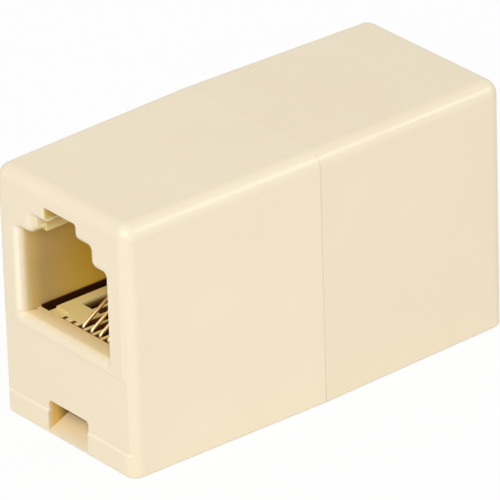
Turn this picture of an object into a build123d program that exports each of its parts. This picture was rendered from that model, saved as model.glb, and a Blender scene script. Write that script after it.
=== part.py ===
"""Inline coupler for six-position modular telephone plugs.

Two moulded half shells close at mid length over one contact carrier. Four
spring wires run through the carrier from jack to jack, held by a cover.

Millimetres. X runs from jack to jack, Y across, Z up. The origin is the middle
of the underside. The front jack opens towards -X, the rear jack towards +X.
"""
import math
import os

from build123d import *

# Outside of the closed coupler. Both halves grow from the jack end to the seam.
length = 36.0
end_width = 15.25
seam_width = 16.05
end_height = 20.55
seam_height = 20.7
long_edge_radius = 1.2
end_edge_radius = 1.05
foot_edge_radius = 0.3
seam_chamfer = 0.1

# Walls of a shell, and the shallow panel across its jack end
wall = 1.3
floor_thickness = 1.2
end_wall = 1.8
inner_corner_radius = 0.5
panel_depth = 0.12
panel_bottom = 2.05
panel_ledge = 0.2
panel_gap = 0.9

# Jack, from the housing's top down: the narrow slot in the end wall that the
# plug's latch snaps behind, the shoulder for its latch arm, and the opening.
slot_roof = 1.7
slot_width = 3.7
slot_height = 1.32
slot_wall = 1.4
shoulder_width = 6.6
shoulder_height = 1.58
jack_width = 9.9
jack_height = 7.0
shoulder_corner_radius = 0.75
opening_corner_radius = 0.2
sill_corner_radius = 0.08
opening_edge_radius = 0.7
slot_edge_radius = 0.18
jack_wall = 0.8
jack_depth = 12.6

# Notch in the foot of each jack end, with a ramp for its sill
notch_width = 4.6
notch_height = 2.85
notch_sill = 0.35
notch_corner_radius = 0.35

# Lap joint at the seam, with a snap bead on each side
tongue_length = 1.6
tongue_thickness = 0.6
lap_clearance = 0.06
bead_height = 0.25
bead_radius = 0.35
bead_length = 3.4
bead_setback = 0.95
bead_level = 10.0

# Contact carrier: an inverted channel from sill to sill, with a stop in the
# middle that ends both jacks
carrier_drop = 0.03
carrier_width = 8.6
carrier_end_gap = 0.12
plate_thickness = 2.0
skirt_thickness = 1.0
skirt_bottom = 3.1
fit_clearance = 0.1
stop_reach = 6.0
stop_wall = 1.0
stop_width = 7.8
stop_gap = 0.5
crest_gap = 0.25
web_thickness = 0.9
web_drop = 2.0

# Comb in each end of the carrier
contact_pitch = 0.98
slot_count = 6
empty_slot_count = 2
wire_slot = 0.7
slot_depth = 1.0
nose_window = 1.1
bar_depth = 2.4
comb_length = 8.7
pocket_side = 3.3
empty_notch_width = 0.4
empty_notch_depth = 0.4
corner_step_length = 0.8
corner_step_depth = 0.15
stop_fin_depth = 1.2
stop_fin_drop = 0.4

# Contact wires
wire_diameter = 0.28
wire_clearance = 0.04
wire_rise = 31.5
wire_bend_radius = 0.45
wire_nose_gap = 0.15
wire_tip_gap = 0.45

# Cover that keeps the wires in their grooves
cover_thickness = 1.1
cover_setback = 1.5
snap_height = 0.15
snap_radius = 0.3
snap_length = 3.0
snap_station = 9.0

# Ribs inside a shell
rib_thickness = 0.9
rib_pitch = 3.8
rib_count = 4
pad_length = 1.1
pad_height = 0.8
pad_overlap = 0.25

# Places worked out from the sizes above
half = length / 2
slot_top = end_height - slot_roof
shoulder_top = slot_top - slot_height
jack_top = shoulder_top - shoulder_height
sill_height = jack_top - jack_height
panel_top = sill_height - panel_gap
end_inside = half - end_wall
carrier_top = sill_height - carrier_drop
plate_bottom = carrier_top - plate_thickness
carrier_end = end_inside - carrier_end_gap
comb_end = carrier_end - comb_length
bar_back = carrier_end - bar_depth
channel_width = carrier_width - 2 * skirt_thickness
cover_bottom = plate_bottom - cover_thickness
wire_level = plate_bottom + wire_clearance + wire_diameter / 2
stop_top = jack_top - stop_gap
inner_seam_width = seam_width - 2 * wall
inner_seam_top = seam_height - wall
slot_places = [contact_pitch * ((slot_count - 1) / 2 - i) for i in range(slot_count)]
wire_places = slot_places[empty_slot_count:]


def block(x, y, z):
    """A box between two values on each axis."""
    low = (min(x), min(y), min(z))
    size = (max(x) - min(x), max(y) - min(y), max(z) - min(z))
    return Pos(*low) * Box(*size, align=(Align.MIN, Align.MIN, Align.MIN))


def across(x):
    """The plane across the coupler at x, drawn on as (y, z)."""
    return Plane(origin=(x, 0, 0), x_dir=(0, 1, 0), z_dir=(1, 0, 0))


def frustum(width_end, width_seam, bottom, top_end, top_seam):
    """A tapered block with flat sides, from the front jack end to the seam."""
    edge = [(-half, width_end / 2), (0, width_seam / 2)]
    plan = make_face(Polyline(*edge, *[(x, -y) for x, y in reversed(edge)], close=True))
    side = make_face(Polyline((-half, bottom), (0, bottom), (0, top_seam), (-half, top_end), close=True))
    tall = extrude(Pos(0, 0, bottom) * plan, amount=max(top_end, top_seam))
    return tall & extrude(Plane.XZ * side, amount=max(width_end, width_seam), both=True)


def prism(outline, x_from, x_to):
    """An outline in (y, z) drawn out along X."""
    face = across(x_from) * outline
    return extrude(face, amount=x_to - x_from, dir=(1, 0, 0))


def mirrored_outline(right_side):
    """A closed outline from its points at +y, listed from the foot up."""
    left_side = [(-y, z) for y, z in reversed(right_side)]
    return make_face(Polyline(*right_side, *left_side, close=True))


def rounded(outline, corners, radius):
    """The outline with the corners near the given (y, z) points rounded."""
    chosen = []
    for y, z in corners:
        for side in (y, -y):
            chosen.append(outline.vertices().sort_by_distance((side, z, 0))[0])
    return fillet(chosen, radius)


def seam_outline(inset):
    """The outside of the housing where its halves meet, drawn in (y, z)."""
    outline = Rectangle(seam_width - 2 * inset, seam_height - 2 * inset)
    outline = fillet(outline.vertices().group_by(Axis.Y)[-1], long_edge_radius - inset)
    outline = fillet(outline.vertices().group_by(Axis.Y)[0], foot_edge_radius - inset)
    return Pos(0, seam_height / 2) * outline


def seam_bevel():
    """What is cut off around the seam, so that the closed halves show a line."""
    band = block((-seam_chamfer, 0), (-seam_width, seam_width), (-seam_height, 2 * seam_height))
    kept = [across(-seam_chamfer) * seam_outline(0), across(0) * seam_outline(seam_chamfer)]
    return band - loft(kept, ruled=True)


def outer_half():
    """The closed outside of the front half: draft, rounded edges, bevelled seam."""
    body = frustum(end_width, seam_width, 0, end_height, seam_height)
    long_edges = body.edges().filter_by(lambda e: e.length > half * 0.9)
    body = fillet(long_edges.sort_by(Axis.Z)[-2:], long_edge_radius)
    end_face = body.faces().sort_by(Axis.X)[0]
    end_edges = end_face.edges().filter_by(lambda e: e.center().Z > foot_edge_radius)
    body = fillet(end_edges, end_edge_radius)
    foot = body.faces().sort_by(Axis.Z)[0]
    foot_edges = foot.edges().filter_by(lambda e: e.center().X < -seam_chamfer)
    body = fillet(foot_edges, foot_edge_radius)
    return body - seam_bevel()


def inner_half():
    """The space inside the front half, up to the jack's end wall."""
    space = frustum(
        end_width - 2 * wall, inner_seam_width, floor_thickness, end_height - wall, inner_seam_top
    )
    space = space & block((-end_inside, 0), (-seam_width, seam_width), (0, seam_height))
    long_edges = space.edges().filter_by(lambda e: e.length > end_inside * 0.9)
    return fillet(long_edges, inner_corner_radius)


def opening_outline():
    """The jack opening as it shows in the end face, without the latch slot."""
    jack, shoulder = jack_width / 2, shoulder_width / 2
    outline = mirrored_outline([
        (jack, sill_height), (jack, jack_top), (shoulder, jack_top), (shoulder, shoulder_top),
    ])
    outline = rounded(outline, [(shoulder, jack_top)], shoulder_corner_radius)
    outline = rounded(outline, [(jack, sill_height)], sill_corner_radius)
    return rounded(outline, [(jack, jack_top), (shoulder, shoulder_top)], opening_corner_radius)


def slot_outline():
    """The latch slot above the shoulder."""
    slot = slot_width / 2
    outline = mirrored_outline([(slot, shoulder_top - slot_height), (slot, slot_top)])
    return rounded(outline, [(slot, slot_top)], opening_corner_radius)


def jack_outline(growth):
    """The jack behind its end wall, grown outwards by a wall thickness."""
    jack, shoulder = jack_width / 2 + growth, shoulder_width / 2 + growth
    return mirrored_outline([
        (jack, floor_thickness), (jack, jack_top + growth),
        (shoulder, jack_top + growth), (shoulder, slot_top + growth),
    ])


def panel_space():
    """The shallow panel across the end face, with a sloped ledge at its foot."""
    outside, inside = -half - end_wall, -half + panel_depth
    side = make_face(Polyline(
        (outside, panel_bottom - panel_ledge), (-half, panel_bottom - panel_ledge),
        (inside, panel_bottom), (inside, panel_top), (outside, panel_top), close=True,
    ))
    return extrude(Plane.XZ * side, amount=end_width, both=True)


def notch_space():
    """The notch in the foot, cut through the end wall above its ramp."""
    outside = -half - end_wall
    slope = (floor_thickness - notch_sill) / end_wall
    side = Polyline(
        (outside, notch_sill - slope * end_wall), (-end_inside, floor_thickness),
        (-end_inside, notch_height), (outside, notch_height), close=True,
    )
    face = Plane.XZ.offset(-notch_width / 2) * make_face(side)
    space = extrude(face, amount=notch_width, dir=(0, -1, 0))
    top_edges = space.faces().sort_by(Axis.Z)[-1].edges().filter_by(Axis.X)
    return fillet(top_edges, notch_corner_radius)


def carrier_seat():
    """Rails under the carrier's skirts, cross ribs under the cover, and pads
    that centre the carrier and hold it down at the back of the jack."""
    side = carrier_width / 2
    back = -tongue_length - 2 * lap_clearance - fit_clearance
    seat = []
    for s in (1, -1):
        rail = (s * (side - skirt_thickness), s * side)
        seat.append(block((-end_inside, back), rail, (floor_thickness, skirt_bottom)))
        pad = (-half + jack_depth - pad_length, -half + jack_depth)
        wall_side = s * jack_width / 2
        low = (floor_thickness, carrier_top - pad_height)
        seat.append(block(pad, (s * (side + fit_clearance), wall_side), low))
        high = (carrier_top + lap_clearance, carrier_top + pad_height)
        seat.append(block(pad, (s * (side - pad_overlap), wall_side), high))
    for i in range(rib_count):
        x = back - rib_thickness - i * rib_pitch
        width = channel_width / 2 - fit_clearance
        seat.append(block((x, x + rib_thickness), (-width, width), (floor_thickness, cover_bottom)))
    return seat


def seam_ring(growth, reach):
    """The band of the lap joint: grown from the inner wall, past the seam."""
    width = inner_seam_width + 2 * growth
    return block((-tongue_length, reach), (-width / 2, width / 2),
                 (floor_thickness - growth, inner_seam_top + growth))


def snap_beads(clearance):
    """Beads on both sides of the tongue, or the grooves that take them."""
    face = inner_seam_width / 2 + tongue_thickness + bead_height - bead_radius
    bead = Cylinder(bead_radius + clearance, bead_length + 2 * clearance)
    return [Pos(bead_setback, s * face, bead_level) * bead for s in (1, -1)]


def jack_shell():
    """The front half without its part of the lap joint."""
    shell = outer_half() - inner_half()
    shell += prism(jack_outline(jack_wall), -end_inside, -half + jack_depth)
    shell -= prism(jack_outline(0), -half + slot_wall, -half + jack_depth) & block(
        (-half, 0), (-half, half), (sill_height, seam_height)
    )
    shell -= prism(jack_outline(0), -end_inside, -half + jack_depth)
    shell -= prism(opening_outline(), -length, -half + slot_wall)
    rim = shell.edges().filter_by(
        lambda e: abs(e.center().X + half) < 0.001
        and abs(e.center().Y) < jack_width / 2 + 0.01
        and sill_height - 0.01 < e.center().Z < shoulder_top + 0.01
    )
    shell = fillet(rim, opening_edge_radius)
    shell -= prism(slot_outline(), -length, -half + slot_wall)
    slot_rim = shell.edges().filter_by(
        lambda e: e.center().X < -half + slot_wall - 0.01
        and abs(e.center().Y) < slot_width / 2 + 0.01
        and shoulder_top - 0.01 < e.center().Z < slot_top + 0.01
        and (abs(e.center().X + half) < 0.001 or e.center().Z < slot_top - slot_height / 2)
    )
    shell = fillet(slot_rim, slot_edge_radius)
    shell -= panel_space()
    shell -= notch_space()
    shell += carrier_seat()
    return shell


def front_shell():
    """The half with the tongue."""
    tongue = seam_ring(tongue_thickness, tongue_length)
    tongue -= seam_ring(0, 2 * tongue_length)
    tongue &= block((-tongue_length / 2, tongue_length), (-seam_width, seam_width), (0, seam_height))
    return jack_shell() + tongue + snap_beads(0)


def rear_shell():
    """The half with the rebate, turned to face the other way."""
    shell = Rot(0, 0, 180) * jack_shell()
    rebate = Rot(0, 0, 180) * seam_ring(tongue_thickness + lap_clearance, tongue_length)
    return shell - rebate - snap_beads(lap_clearance)


def end_comb(end):
    """What is cut from one end of the carrier's plate: long slots that the
    wires sink into, open at the front where there is a wire, and a low step in
    the corner beside them."""
    above = carrier_top + plate_thickness
    step = (end * (carrier_end - corner_step_length), end * half)
    beside = (slot_places[0] + wire_slot / 2, carrier_width)
    cuts = [block(step, beside, (carrier_top - corner_step_depth, above))]
    deep = (carrier_top - slot_depth, above)
    through = (plate_bottom - plate_thickness, above)
    for i, y in enumerate(slot_places):
        sides = (y - wire_slot / 2, pocket_side if i == 0 else y + wire_slot / 2)
        if i >= empty_slot_count:
            cuts.append(block((end * comb_end, end * half), sides, deep))
            cuts.append(block((end * (carrier_end - nose_window), end * half), sides, through))
        else:
            cuts.append(block((end * comb_end, end * bar_back), sides, deep))
            notch = (y - empty_notch_width / 2, y + empty_notch_width / 2)
            cuts.append(block((end * (carrier_end - empty_notch_depth), end * half), notch, deep))
    return cuts


def stop_block():
    """The upright stop between the jacks: two walls, each with a crest that
    closes its latch channel and fins that keep the wire tips apart, joined by
    three webs."""
    side = stop_width / 2
    pieces = []
    for end in (-1, 1):
        depth = (end * (stop_reach - stop_wall), end * stop_reach)
        pieces.append(block(depth, (-side, side), (plate_bottom, stop_top)))
        crest = shoulder_width / 2 - crest_gap
        pieces.append(block(depth, (-crest, crest), (plate_bottom, slot_top - crest_gap)))
        fin = contact_pitch - wire_slot
        for i in range(slot_count + 1):
            y = contact_pitch * (slot_count / 2 - i)
            pieces.append(block((end * stop_reach, end * (stop_reach + stop_fin_depth)),
                                (y - fin / 2, y + fin / 2), (plate_bottom, stop_top - stop_fin_drop)))
    for y in (-side + web_thickness / 2, 0, side - web_thickness / 2):
        pieces.append(block((-stop_reach, stop_reach), (y - web_thickness / 2, y + web_thickness / 2),
                            (plate_bottom, stop_top - web_drop)))
    return pieces


def cover_snaps(clearance):
    """Beads along both sides of the cover, or the grooves in the skirts."""
    face = channel_width / 2 - fit_clearance + snap_height - snap_radius
    level = (plate_bottom + cover_bottom) / 2
    bead = Rot(0, 90, 0) * Cylinder(snap_radius + clearance, snap_length + 2 * clearance)
    places = [(x, s * face, level) for x in (-snap_station, 0, snap_station) for s in (1, -1)]
    return [Pos(*place) * bead for place in places]


def contact_carrier():
    """The insert: plate, skirts, combs, stop and the grooves of the wires."""
    side = carrier_width / 2
    carrier = block((-carrier_end, carrier_end), (-side, side), (skirt_bottom, carrier_top))
    carrier -= block((-half, half), (-channel_width / 2, channel_width / 2), (0, plate_bottom))
    for end in (-1, 1):
        carrier -= end_comb(end)
    carrier += stop_block()
    groove = wire_diameter / 2 + wire_clearance
    for y in wire_places:
        depth = (plate_bottom - groove, plate_bottom + 2 * groove)
        carrier -= block((-half, half), (y - groove, y + groove), depth)
    return carrier - cover_snaps(fit_clearance)


def wire_cover():
    """The strip that snaps between the skirts under the wires."""
    reach = carrier_end - cover_setback
    side = channel_width / 2 - fit_clearance
    cover = block((-reach, reach), (-side, side), (cover_bottom, plate_bottom))
    ends = cover.faces().filter_by(Axis.X)
    lead_in = [face.edges().sort_by(Axis.Z)[0] for face in ends]
    cover = chamfer(lead_in, cover_thickness / 2)
    return cover + cover_snaps(0)


def contact_wire(y):
    """One spring wire: under the carrier, round both noses and up each jack."""
    nose = carrier_end - wire_nose_gap - wire_diameter / 2
    tip = stop_reach + wire_tip_gap
    tip_level = carrier_top + (nose - tip) * math.tan(math.radians(wire_rise))
    front = [(-tip, y, tip_level), (-nose, y, carrier_top), (-nose, y, wire_level)]
    rear = [(-x, y, z) for x, y, z in reversed(front)]
    path = FilletPolyline(*front, *rear, radius=wire_bend_radius)
    section = Plane(origin=path @ 0, z_dir=path % 0) * Circle(wire_diameter / 2)
    return sweep(section, path=path)


parts = {
    "front_shell": front_shell(),
    "rear_shell": rear_shell(),
    "contact_carrier": contact_carrier(),
    "wire_cover": wire_cover(),
}
for number, place in enumerate(wire_places, start=1):
    parts[f"contact_wire_{number}"] = contact_wire(place)

os.makedirs("parts", exist_ok=True)
for name, shape in parts.items():
    export_step(shape, f"parts/{name}.step")
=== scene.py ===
import math

import bpy
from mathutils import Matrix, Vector


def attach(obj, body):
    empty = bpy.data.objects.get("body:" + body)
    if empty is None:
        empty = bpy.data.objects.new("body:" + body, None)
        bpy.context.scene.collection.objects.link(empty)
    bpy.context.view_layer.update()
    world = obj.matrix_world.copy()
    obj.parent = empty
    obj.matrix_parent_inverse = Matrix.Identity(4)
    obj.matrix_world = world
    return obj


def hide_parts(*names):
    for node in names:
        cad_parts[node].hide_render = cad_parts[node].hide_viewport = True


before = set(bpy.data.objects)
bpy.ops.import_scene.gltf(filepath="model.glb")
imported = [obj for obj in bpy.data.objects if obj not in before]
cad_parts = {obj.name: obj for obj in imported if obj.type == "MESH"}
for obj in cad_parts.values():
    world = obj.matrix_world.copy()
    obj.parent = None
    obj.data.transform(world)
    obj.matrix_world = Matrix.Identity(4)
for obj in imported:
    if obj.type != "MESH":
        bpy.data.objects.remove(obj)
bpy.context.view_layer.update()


# Contact wires. Four spring wires of phosphor bronze, drawn round and plated
# with bright gold, run from jack to jack under the carrier and are bent up at
# each end, where the plug's blades press on them.
wire_count = 4
wire_round_angle = math.radians(60)
weld_distance = 0.000001
flat_angle = math.radians(0.5)
any_angle = math.radians(180)
wire_gold = (0.97, 0.8, 0.52, 1)
wire_deep_gold = (0.9, 0.66, 0.36, 1)
tarnish_size = 0.004
wire_roughness = (0.38, 0.48)
wire_sheen_size = 0.002
wire_noise_detail = 2
draw_mark_size = 0.0001
draw_mark_depth = 0.000005
draw_mark_strength = 0.5
noise_span = (0.25, 0.75)


def picked(piece):
    """Only this piece selected and active, for the operators that follow."""
    bpy.ops.object.select_all(action="DESELECT")
    piece.select_set(True)
    bpy.context.view_layer.objects.active = piece


def joined_copy(node, piece_name, round_angle):
    """A bare copy of a solid's mesh, its triangles paired and its curves shaded round."""
    picked(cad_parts[node])
    bpy.ops.object.duplicate()
    piece = bpy.context.active_object
    piece.name = piece_name
    for mark in list(piece.keys()):
        del piece[mark]
    piece.data.materials.clear()
    bpy.ops.object.mode_set(mode="EDIT")
    bpy.ops.mesh.select_all(action="SELECT")
    bpy.ops.mesh.remove_doubles(threshold=weld_distance)
    bpy.ops.mesh.tris_convert_to_quads(face_threshold=flat_angle, shape_threshold=any_angle)
    bpy.ops.object.mode_set(mode="OBJECT")
    bpy.ops.object.shade_smooth_by_angle(angle=round_angle)
    return piece


def noise_layer(tree, size, detail):
    """Noise over the object's own coordinates, with its features this far apart."""
    place = tree.nodes.new("ShaderNodeTexCoord")
    noise = tree.nodes.new("ShaderNodeTexNoise")
    noise.inputs["Scale"].default_value = 1 / size
    noise.inputs["Detail"].default_value = detail
    tree.links.new(place.outputs["Object"], noise.inputs["Vector"])
    return noise.outputs["Fac"]


def spread(tree, noise, low, high):
    """Noise, which keeps near one half, stretched to run from low to high."""
    fit = tree.nodes.new("ShaderNodeMapRange")
    fit.inputs["From Min"].default_value = noise_span[0]
    fit.inputs["From Max"].default_value = noise_span[1]
    fit.inputs["To Min"].default_value = low
    fit.inputs["To Max"].default_value = high
    tree.links.new(noise, fit.inputs["Value"])
    return fit.outputs["Result"]


def blended(tree, mask, low, high):
    """A colour that goes from low to high with a mask."""
    mix = tree.nodes.new("ShaderNodeMix")
    mix.data_type = "RGBA"
    for colour, socket in ((low, mix.inputs["A"]), (high, mix.inputs["B"])):
        if isinstance(colour, tuple):
            socket.default_value = colour
        else:
            tree.links.new(colour, socket)
    tree.links.new(mask, mix.inputs["Factor"])
    return mix.outputs["Result"]


gold = bpy.data.materials.new("gold_plated_wire")
gold.use_nodes = True
tree = gold.node_tree
skin = tree.nodes["Principled BSDF"]
skin.inputs["Metallic"].default_value = 1.0
tarnish = spread(tree, noise_layer(tree, tarnish_size, wire_noise_detail), 0, 1)
tree.links.new(blended(tree, tarnish, wire_gold, wire_deep_gold), skin.inputs["Base Color"])
sheen = spread(tree, noise_layer(tree, wire_sheen_size, wire_noise_detail), *wire_roughness)
tree.links.new(sheen, skin.inputs["Roughness"])
draw_marks = tree.nodes.new("ShaderNodeBump")
draw_marks.inputs["Distance"].default_value = draw_mark_depth
draw_marks.inputs["Strength"].default_value = draw_mark_strength
marks = noise_layer(tree, draw_mark_size, wire_noise_detail)
tree.links.new(marks, draw_marks.inputs["Height"])
tree.links.new(draw_marks.outputs["Normal"], skin.inputs["Normal"])

for number in range(1, wire_count + 1):
    wire = joined_copy(f"contact_wire_{number}", f"gold_wire_{number}", wire_round_angle)
    wire.data.materials.append(gold)
    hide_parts(f"contact_wire_{number}")
    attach(wire, "root")


# Contact carrier. The insert that holds the wires in combs, moulded in a
# yellower plastic than the housing, with crisp slots and a satin skin. The
# shells close over it and hold it between their rails.
moulded_round_angle = math.radians(35)
carrier_bevel = 0.00004
bevel_segments = 2
bevel_angle = math.radians(40)
flat_face_weight = 100
carrier_pale = (0.92, 0.8, 0.39, 1)
carrier_deep = (0.87, 0.67, 0.25, 1)
carrier_roughness = 0.42
carrier_grain_depth = 0.000004
clouding_size = 0.009
clouding_detail = 3
sheen_size = 0.003
sheen_detail = 4
sheen_span = (0.88, 1.12)
grain_size = 0.00012
grain_detail = 3
grain_strength = 0.6
plastic_ior = 1.5

# Painted shade between its combs, by level: where each colour starts and is full.
slot_brown = (0.4, 0.22, 0.05, 1)
slot_brown_levels = (0.00876, 0.00872)
slot_red = (0.22, 0.07, 0.025, 1)
slot_red_levels = (0.0089, 0.00885)
slot_red_half_width = (0.00279, 0.00276)
slot_shade = (0.05, 0.01, 0.004, 1)
slot_shade_levels = (0.0087, 0.0083)


def softened(piece, width):
    """A small radius on the sharp edges, as the mould's own corners leave it."""
    picked(piece)
    radius = piece.modifiers.new("mould radius", "BEVEL")
    radius.width = width
    radius.segments = bevel_segments
    radius.limit_method = "ANGLE"
    radius.angle_limit = bevel_angle
    bpy.ops.object.modifier_apply(modifier=radius.name)
    bpy.ops.object.shade_smooth_by_angle(angle=moulded_round_angle)


def face_weighted(piece):
    """Shading that keeps the flat faces flat beside their rounded edges."""
    picked(piece)
    weighting = piece.modifiers.new("flat faces", "WEIGHTED_NORMAL")
    weighting.keep_sharp = True
    weighting.weight = flat_face_weight
    bpy.ops.object.modifier_apply(modifier=weighting.name)


def moulded_grain():
    """The skin of a moulding: clouding in its colour, a fine grain, and sheen."""
    group = bpy.data.node_groups.new("moulded_grain", "ShaderNodeTree")
    sockets = (
        ("Pale", "INPUT", "NodeSocketColor"), ("Deep", "INPUT", "NodeSocketColor"),
        ("Roughness", "INPUT", "NodeSocketFloat"), ("Color", "OUTPUT", "NodeSocketColor"),
        ("Sheen Map", "OUTPUT", "NodeSocketFloat"), ("Height", "OUTPUT", "NodeSocketFloat"),
    )
    for name, way, kind in sockets:
        group.interface.new_socket(name=name, in_out=way, socket_type=kind)
    given = group.nodes.new("NodeGroupInput")
    result = group.nodes.new("NodeGroupOutput")
    clouding = spread(group, noise_layer(group, clouding_size, clouding_detail), 0, 1)
    colour = blended(group, clouding, given.outputs["Pale"], given.outputs["Deep"])
    group.links.new(colour, result.inputs["Color"])
    sheen = group.nodes.new("ShaderNodeMath")
    sheen.operation = "MULTIPLY"
    sheen_noise = noise_layer(group, sheen_size, sheen_detail)
    group.links.new(spread(group, sheen_noise, *sheen_span), sheen.inputs[0])
    group.links.new(given.outputs["Roughness"], sheen.inputs[1])
    group.links.new(sheen.outputs["Value"], result.inputs["Sheen Map"])
    group.links.new(noise_layer(group, grain_size, grain_detail), result.inputs["Height"])
    return group


grain = moulded_grain()


def moulded_plastic(name, pale, deep, roughness, grain_depth):
    """An opaque satin plastic with the moulded grain at its own colours."""
    plastic = bpy.data.materials.new(name)
    plastic.use_nodes = True
    tree = plastic.node_tree
    skin = tree.nodes["Principled BSDF"]
    surface = tree.nodes.new("ShaderNodeGroup")
    surface.node_tree = grain
    surface.inputs["Pale"].default_value = pale
    surface.inputs["Deep"].default_value = deep
    surface.inputs["Roughness"].default_value = roughness
    bump = tree.nodes.new("ShaderNodeBump")
    bump.inputs["Distance"].default_value = grain_depth
    bump.inputs["Strength"].default_value = grain_strength
    tree.links.new(surface.outputs["Height"], bump.inputs["Height"])
    tree.links.new(surface.outputs["Color"], skin.inputs["Base Color"])
    tree.links.new(surface.outputs["Sheen Map"], skin.inputs["Roughness"])
    tree.links.new(bump.outputs["Normal"], skin.inputs["Normal"])
    skin.inputs["IOR"].default_value = plastic_ior
    return plastic


def place_parts(tree):
    """How far a point is along the coupler, across it and up, both ends alike."""
    place = tree.nodes.new("ShaderNodeTexCoord")
    apart = tree.nodes.new("ShaderNodeSeparateXYZ")
    tree.links.new(place.outputs["Object"], apart.inputs["Vector"])
    parts = []
    for axis in ("X", "Y"):
        size = tree.nodes.new("ShaderNodeMath")
        size.operation = "ABSOLUTE"
        tree.links.new(apart.outputs[axis], size.inputs[0])
        parts.append(size.outputs["Value"])
    return (*parts, apart.outputs["Z"])


def within(tree, *limits):
    """A mask that is one where each value has gone from its empty to its full end."""
    mask = None
    for value, empty, full in limits:
        ramp = tree.nodes.new("ShaderNodeMapRange")
        ramp.inputs["From Min"].default_value = empty
        ramp.inputs["From Max"].default_value = full
        tree.links.new(value, ramp.inputs["Value"])
        if mask is None:
            mask = ramp.outputs["Result"]
            continue
        both = tree.nodes.new("ShaderNodeMath")
        both.operation = "MULTIPLY"
        tree.links.new(mask, both.inputs[0])
        tree.links.new(ramp.outputs["Result"], both.inputs[1])
        mask = both.outputs["Value"]
    return mask


def painted(tree, colour, *paints):
    """These paints laid in turn over a colour, each one within its own limits."""
    for paint, *limits in paints:
        colour = blended(tree, within(tree, *limits), colour, paint)
    return colour


carrier_plastic = moulded_plastic(
    "carrier_plastic", carrier_pale, carrier_deep, carrier_roughness, carrier_grain_depth
)
tree = carrier_plastic.node_tree
skin = tree.nodes["Principled BSDF"]
along, across, up = place_parts(tree)
# Painted shade in the slots between the combs.
combs = painted(
    tree, skin.inputs["Base Color"].links[0].from_socket,
    (slot_brown, (up, *slot_brown_levels)),
    (slot_red, (up, *slot_red_levels), (across, *slot_red_half_width)),
    (slot_shade, (up, *slot_shade_levels)),
)
tree.links.new(combs, skin.inputs["Base Color"])
carrier = joined_copy("contact_carrier", "comb_carrier", moulded_round_angle)
softened(carrier, carrier_bevel)
face_weighted(carrier)
carrier.data.materials.append(carrier_plastic)
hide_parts("contact_carrier")
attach(carrier, "root")


# Wire cover. A strip of the carrier's plastic that snaps between its skirts
# and closes the grooves of the wires. It is hidden once the shells are shut.
cover_bevel = 0.00005
cover_pale = (0.64, 0.51, 0.24, 1)
cover_deep = (0.54, 0.41, 0.17, 1)
cover_roughness = 0.45
cover_grain_depth = 0.000005

cover_plastic = moulded_plastic(
    "cover_plastic", cover_pale, cover_deep, cover_roughness, cover_grain_depth
)
cover = joined_copy("wire_cover", "groove_cover", moulded_round_angle)
softened(cover, cover_bevel)
face_weighted(cover)
cover.data.materials.append(cover_plastic)
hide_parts("wire_cover")
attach(cover, "root")


# Half shells. Two injection-moulded halves in ivory, each with its jack
# moulded in one with it. They snap together and show a fine line between them.
# Inside the jack, painted golds stand in for the light that passes through its
# thin walls and bounces between them, painted highlights lie on its rims, lip
# and sill, and painted shade darkens its foot and notch.
shell_round_angle = math.radians(28)
ivory_pale = (0.86, 0.75, 0.555, 1)
ivory_deep = (0.835, 0.725, 0.525, 1)
# The rear half's ivory is painted a shade darker, for the light that falls a little less on it.
rear_shaded_pale = (0.85, 0.738, 0.545, 1)
rear_shaded_deep = (0.825, 0.713, 0.515, 1)
shell_roughness = 0.33
shell_grain_depth = 0.000004

# The paints lie by place. Depths count along the coupler from its middle, half
# widths across it, and levels up from its foot. Two numbers say where a paint
# starts and where it is full, and in the levels of the jack, rim and sill they
# are the lowest and the highest. A single number is met over one edge's width.
edge = 0.00005

# Painted golds for the light and shade on the jack walls, from the mouth inwards,
# and on the crown of the walls.
jack_half_width = 0.0052
jack_levels = (0.00896, 0.0192)
mouth_gold = (0.72, 0.53, 0.2, 1)
mouth_depths = (0.01775, 0.01695)
wall_gold = (0.57, 0.4, 0.152, 1)
wall_depths = (0.0171, 0.0160)
inner_gold = (0.9, 0.58, 0.075, 1)
inner_depths = (0.0155, 0.0115)
crown_gold = (0.9, 0.66, 0.25, 1)
crown_levels = (0.0125, 0.0185)

# Painted light and shade on the shoulders beside the latch slot: gold in their
# shade and cream at the front.
shoulder_half_width = 0.00335
shoulder_gold = (1.0, 0.84, 0.42, 1)
shoulder_deep = (0.95, 0.7, 0.26, 1)
shoulder_foot = (0.01585, 0.0159)
shoulder_fade = (0.01655, 0.01625)
shoulder_front = (0.0179, 0.0176)
shoulder_lip = (0.01665, 0.0172)

# Painted light in the latch slot and on its lip: a gold slot wall and a pale
# cream lip.
slot_half_width = 0.0019
slot_top = 0.01886
slot_depths = (0.01795, 0.01775)
slot_back = 0.01675
slot_floor = 0.01778
slot_gold = (0.8, 0.6, 0.2, 1)
lip_floor = 0.0175
lip_painted_light = (1.0, 0.92, 0.66, 1)

# Painted highlight on the rim on both sides of the opening.
rim_painted_highlight = (0.95, 0.85, 0.66, 1)
rim_depths = (0.01765, 0.01785)
rim_half_width = (0.0057, 0.0053)
rim_levels = (0.00915, 0.0159)

# Painted light and shade in the notch in the foot of the end: a lit gold ramp,
# a gold wall and deep shade further in.
notch_half_width = 0.0024
notch_top = 0.0029
ramp_gold = (0.88, 0.71, 0.44, 1)
ramp_depths = (0.018, 0.0172)
notch_side = (0.00222, 0.00228)
notch_gold = (0.8, 0.52, 0.13, 1)
notch_depths = (0.01797, 0.0175)
notch_deep = (0.25, 0.16, 0.03, 1)
notch_deep_depths = (0.0172, 0.0162)

# Painted highlight and shade at the ledge over the foot: a light line under a
# shaded one.
ledge_depths = (0.0177, 0.01775)
ledge_foot = (0.0018, 0.00185)
ledge_painted_highlight = (0.92, 0.815, 0.63, 1)
ledge_light_top = (0.00208, 0.00203)
ledge_painted_shade = (0.82, 0.7, 0.51, 1)
ledge_shade_top = (0.00222, 0.00213)

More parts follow.
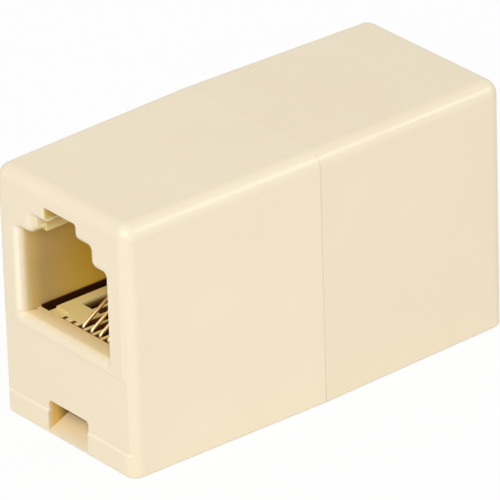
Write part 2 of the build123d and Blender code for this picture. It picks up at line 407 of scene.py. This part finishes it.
# Painted shade in the gap between the foot of the jack walls and the carrier,
# behind the sill.
foot_shade = (0.05, 0.014, 0.004, 1)
gap_depths = (0.0162, 0.01615)
gap_top = (0.00921, 0.00906)

# Painted light on the sill of the jack, pale at the front and gold behind.
sill_levels = (0.0088, 0.00896)
sill_depths = (0.0181, 0.0173)
sill_front_painted_light = (0.97, 0.81, 0.5, 1)
sill_back_painted_gold = (0.88, 0.67, 0.35, 1)
sill_back_depths = (0.0172, 0.0164)

# Seam between the halves, on the sides and the foot but not on the top.
seam_half_width = (0.00008, 0.00003)
seam_top = (0.0206, 0.0203)
seam_brown = (0.74, 0.63, 0.47, 1)


def past(value, limit):
    """Full where the value is over its limit."""
    return value, limit, limit + edge


def up_to(value, limit):
    """Full where the value is under its limit."""
    return value, limit + edge, limit


def jack_painted_light_and_shade():
    """The jack's painted light and shade (its golds, highlights and dark foot) and the seam
    line, over ivory.
    """
    group = bpy.data.node_groups.new("jack_painted_light_and_shade", "ShaderNodeTree")
    group.interface.new_socket(name="Ivory", in_out="INPUT", socket_type="NodeSocketColor")
    group.interface.new_socket(name="Color", in_out="OUTPUT", socket_type="NodeSocketColor")
    given = group.nodes.new("NodeGroupInput")
    result = group.nodes.new("NodeGroupOutput")
    along, across, up = place_parts(group)
    low, high = jack_levels
    inside = up_to(across, jack_half_width), past(up, low), up_to(up, high)
    shoulder = (
        past(across, slot_half_width), up_to(across, shoulder_half_width),
        (up, *shoulder_foot), up_to(up, slot_top), (along, *shoulder_front),
    )
    shoulder_golds = blended(
        group, within(group, (up, *shoulder_fade)), shoulder_deep, shoulder_gold
    )
    lip = (
        (along, *slot_depths), up_to(across, slot_half_width), up_to(up, slot_top),
        past(up, lip_floor),
    )
    rim_low, rim_high = rim_levels
    rim = (
        (along, *rim_depths), (across, *rim_half_width), past(across, jack_half_width - edge),
        past(up, rim_low), up_to(up, rim_high),
    )
    notch = up_to(across, notch_half_width), up_to(up, notch_top), past(up, edge)
    notch_wall = *notch, (across, *notch_side)
    ledge = (along, *ledge_depths), (up, *ledge_foot)
    gap_start, gap_full = gap_depths
    gap = (
        (along, gap_start, gap_full), up_to(across, jack_half_width), (up, *gap_top),
        past(up, notch_top),
    )
    sill_low, sill_high = sill_levels
    sill = (
        (along, *sill_depths), (along, gap_full, gap_start), up_to(across, jack_half_width),
        past(up, sill_low), up_to(up, sill_high),
    )
    sill_painted_golds = blended(group, within(group, (along, *sill_back_depths)), sill_front_painted_light, sill_back_painted_gold)
    colour = painted(
        group, given.outputs["Ivory"],
        (mouth_gold, (along, *mouth_depths), *inside),
        (wall_gold, (along, *wall_depths), *inside),
        (inner_gold, (along, *inner_depths), *inside),
        (crown_gold, (along, *mouth_depths), (up, *crown_levels), *inside),
        (shoulder_golds, *shoulder),
        (lip_painted_light, *shoulder, (along, *shoulder_lip)),
        (lip_painted_light, *lip),
        (slot_gold, *lip, past(up, slot_floor), past(along, slot_back)),
        (rim_painted_highlight, *rim),
        (ramp_gold, *notch, (along, *ramp_depths)),
        (notch_gold, *notch_wall, (along, *notch_depths)),
        (notch_deep, *notch_wall, (along, *notch_deep_depths)),
        (ledge_painted_shade, *ledge, (up, *ledge_shade_top)),
        (ledge_painted_highlight, *ledge, (up, *ledge_light_top)),
        (foot_shade, *gap),
        (sill_painted_golds, *sill),
        (seam_brown, (along, *seam_half_width), (up, *seam_top)),
    )
    group.links.new(colour, result.inputs["Color"])
    return group


jack_painted_light = jack_painted_light_and_shade()


def shell_plastic(name, pale, deep):
    """Ivory plastic with the jack's painted light and shade laid over it."""
    plastic = moulded_plastic(name, pale, deep, shell_roughness, shell_grain_depth)
    tree = plastic.node_tree
    base_color = tree.nodes["Principled BSDF"].inputs["Base Color"]
    jack = tree.nodes.new("ShaderNodeGroup")
    jack.node_tree = jack_painted_light
    tree.links.new(base_color.links[0].from_socket, jack.inputs["Ivory"])
    tree.links.new(jack.outputs["Color"], base_color)
    return plastic


shells = (
    ("front_shell", "front_half", shell_plastic("front_ivory", ivory_pale, ivory_deep)),
    ("rear_shell", "rear_half", shell_plastic("rear_ivory_shaded", rear_shaded_pale, rear_shaded_deep)),
)
for node, piece_name, plastic in shells:
    shell = joined_copy(node, piece_name, shell_round_angle)
    face_weighted(shell)
    shell.data.materials.append(plastic)
    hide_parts(node)
    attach(shell, "root")


# Floor. A plain white sheet that the coupler stands on. It shows white to the
# camera and in reflections, and keeps the coupler's soft shadow. It lies a hair
# above the foot, so that the two faces never fall on each other from below.
floor_size = 2.0
floor_level = 0.00001
floor_white = (0.88, 0.88, 0.88, 1)
floor_roughness = 0.9
floor_glow = 0.93
white = (1, 1, 1, 1)
white_strength = 1.0


def background_rays(tree):
    """One for the rays of the camera, of gloss and of glass, which meet plain white."""
    path = tree.nodes.new("ShaderNodeLightPath")
    total = path.outputs["Is Camera Ray"]
    for kind in ("Is Glossy Ray", "Is Transmission Ray"):
        either = tree.nodes.new("ShaderNodeMath")
        either.operation = "MAXIMUM"
        tree.links.new(total, either.inputs[0])
        tree.links.new(path.outputs[kind], either.inputs[1])
        total = either.outputs["Value"]
    return total


bpy.ops.object.select_all(action="DESELECT")
bpy.ops.mesh.primitive_plane_add(size=floor_size, location=(0, 0, floor_level))
floor = bpy.context.active_object
floor.name = "floor"
paper = bpy.data.materials.new("white_paper")
paper.use_nodes = True
tree = paper.node_tree
skin = tree.nodes["Principled BSDF"]
skin.inputs["Base Color"].default_value = floor_white
skin.inputs["Roughness"].default_value = floor_roughness
skin.inputs["Specular IOR Level"].default_value = 0.0
glow = tree.nodes.new("ShaderNodeEmission")
glow.inputs["Color"].default_value = white
glow.inputs["Strength"].default_value = white_strength
seen = tree.nodes.new("ShaderNodeMath")
seen.operation = "MULTIPLY"
seen.inputs[1].default_value = floor_glow
tree.links.new(background_rays(tree), seen.inputs[0])
mix = tree.nodes.new("ShaderNodeMixShader")
tree.links.new(seen.outputs["Value"], mix.inputs["Fac"])
tree.links.new(skin.outputs["BSDF"], mix.inputs[1])
tree.links.new(glow.outputs["Emission"], mix.inputs[2])
tree.links.new(mix.outputs["Shader"], tree.nodes["Material Output"].inputs["Surface"])
floor.data.materials.append(paper)


# Light. An even white tent round the coupler, a large soft box above the
# camera's shoulder, and a small one on the right that draws a thin highlight
# along the long upper edge.
tent_strength = 0.55
front_box_place = (-0.63, -0.43, 0.63)
front_box_size = 0.6
front_box_power = 5.6
edge_box_place = (0.558, -0.635, 0.534)
edge_box_size = 0.12
edge_box_power = 1.3

world = bpy.data.worlds.new("tent")
bpy.context.scene.world = world
world.use_nodes = True
tree = world.node_tree
tent = tree.nodes["Background"]
tent.inputs["Color"].default_value = white
tent.inputs["Strength"].default_value = tent_strength
backdrop = tree.nodes.new("ShaderNodeBackground")
backdrop.inputs["Color"].default_value = white
backdrop.inputs["Strength"].default_value = white_strength
mix = tree.nodes.new("ShaderNodeMixShader")
tree.links.new(background_rays(tree), mix.inputs["Fac"])
tree.links.new(tent.outputs["Background"], mix.inputs[1])
tree.links.new(backdrop.outputs["Background"], mix.inputs[2])
tree.links.new(mix.outputs["Shader"], tree.nodes["World Output"].inputs["Surface"])

boxes = (
    ("front_box", front_box_place, front_box_size, front_box_power),
    ("edge_box", edge_box_place, edge_box_size, edge_box_power),
)
for name, place, size, power in boxes:
    bpy.ops.object.light_add(type="AREA", location=place)
    lamp = bpy.context.active_object
    lamp.name = name
    lamp.data.size = size
    lamp.data.energy = power
    lamp.rotation_euler = (-Vector(place)).to_track_quat("-Z", "Y").to_euler()


# Camera. Far off with a long lens, from the front jack's side and above, as
# the photograph was taken, turned a little about its own axis.
camera_azimuth = math.radians(-38.915)
camera_elevation = math.radians(27.409)
camera_roll = math.radians(-1.804)
camera_distance = 0.52607
camera_lens = 511.02
camera_near = 0.01
camera_aim = Vector((-0.000257, 0.000099, 0.009837))

towards_camera = Vector((
    math.sin(camera_azimuth) * math.cos(camera_elevation),
    -math.cos(camera_azimuth) * math.cos(camera_elevation),
    math.sin(camera_elevation),
))
bpy.ops.object.camera_add(location=camera_aim + towards_camera * camera_distance)
camera = bpy.context.active_object
camera.rotation_euler = (math.pi / 2 - camera_elevation, 0, camera_azimuth)
camera.rotation_euler.rotate_axis("Z", camera_roll)
camera.data.lens = camera_lens
camera.data.clip_start = camera_near
bpy.context.scene.camera = camera
bpy.context.scene.view_settings.view_transform = "Standard"
